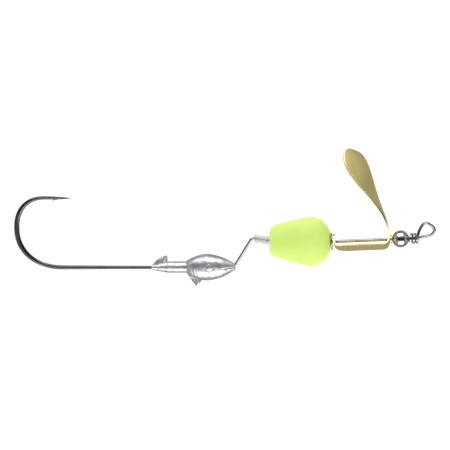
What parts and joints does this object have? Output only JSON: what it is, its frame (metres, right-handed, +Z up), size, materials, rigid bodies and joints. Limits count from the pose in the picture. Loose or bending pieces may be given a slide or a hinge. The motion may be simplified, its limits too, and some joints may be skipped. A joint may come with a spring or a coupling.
{
  "type": "in-line floating spinnerbait",
  "caption": "In-line fishing spinnerbait: long-shank jig hook in a lead minnow head, bent wire arm, green float, twisted brass blade and chrome bead on the shaft.",
  "frame": {"origin": "centre of the lying lure's box, on the surface that it lies on", "axes": "+X along the shaft towards the line tie, +Y towards the hook point, +Z up from the surface; the lure lies on its side, on its float, head and hook bend"},
  "size_m": [0.1138, 0.0373, 0.0133],
  "materials": {
    "black_nickel": "satin",
    "cast_lead": "satin",
    "stainless_wire": "satin",
    "clear_plastic": "gloss",
    "float_foam": "matte",
    "nickel": "satin",
    "brass_sheet": "satin",
    "brass_turned": "polished",
    "chrome_plate": "polished"
  },
  "bodies": {
    "lure": {"hook": "black_nickel", "jig_head": "cast_lead", "wire_arm": "stainless_wire"},
    "sleeve": {"spacer_sleeve": "clear_plastic"},
    "float": {"float_body": "float_foam"},
    "rear_disc": {"rear_washer": "nickel"},
    "blade": {"spinner_blade": "brass_sheet"},
    "front_disc": {"front_washer": "brass_turned"},
    "bead": {"chrome_bead": "chrome_plate"}
  },
  "joints": [
    {"name": "sleeve_spin", "type": "hinge", "parent": "lure", "child": "sleeve", "pos_m": [0.0074, -0.00594, 0.00592], "axis": [0.99, -0.1394, 0.0231], "continuous": true},
    {"name": "float_spin", "type": "hinge", "parent": "lure", "child": "float", "pos_m": [0.0122, -0.00661, 0.00603], "axis": [0.9983, -0.014, 0.0571], "continuous": true},
    {"name": "rear_washer_spin", "type": "hinge", "parent": "lure", "child": "rear_disc", "pos_m": [0.02937, -0.00685, 0.00701], "axis": [0.9966, 0.0407, 0.0717], "continuous": true},
    {"name": "blade_spin", "type": "hinge", "parent": "lure", "child": "blade", "pos_m": [0.02937, -0.00685, 0.00701], "axis": [0.9966, 0.0407, 0.0717], "continuous": true},
    {"name": "front_washer_spin", "type": "hinge", "parent": "lure", "child": "front_disc", "pos_m": [0.02937, -0.00685, 0.00701], "axis": [0.9966, 0.0407, 0.0717], "continuous": true},
    {"name": "bead_spin", "type": "hinge", "parent": "lure", "child": "bead", "pos_m": [0.02937, -0.00685, 0.00701], "axis": [0.9966, 0.0407, 0.0717], "continuous": true}
  ]
}
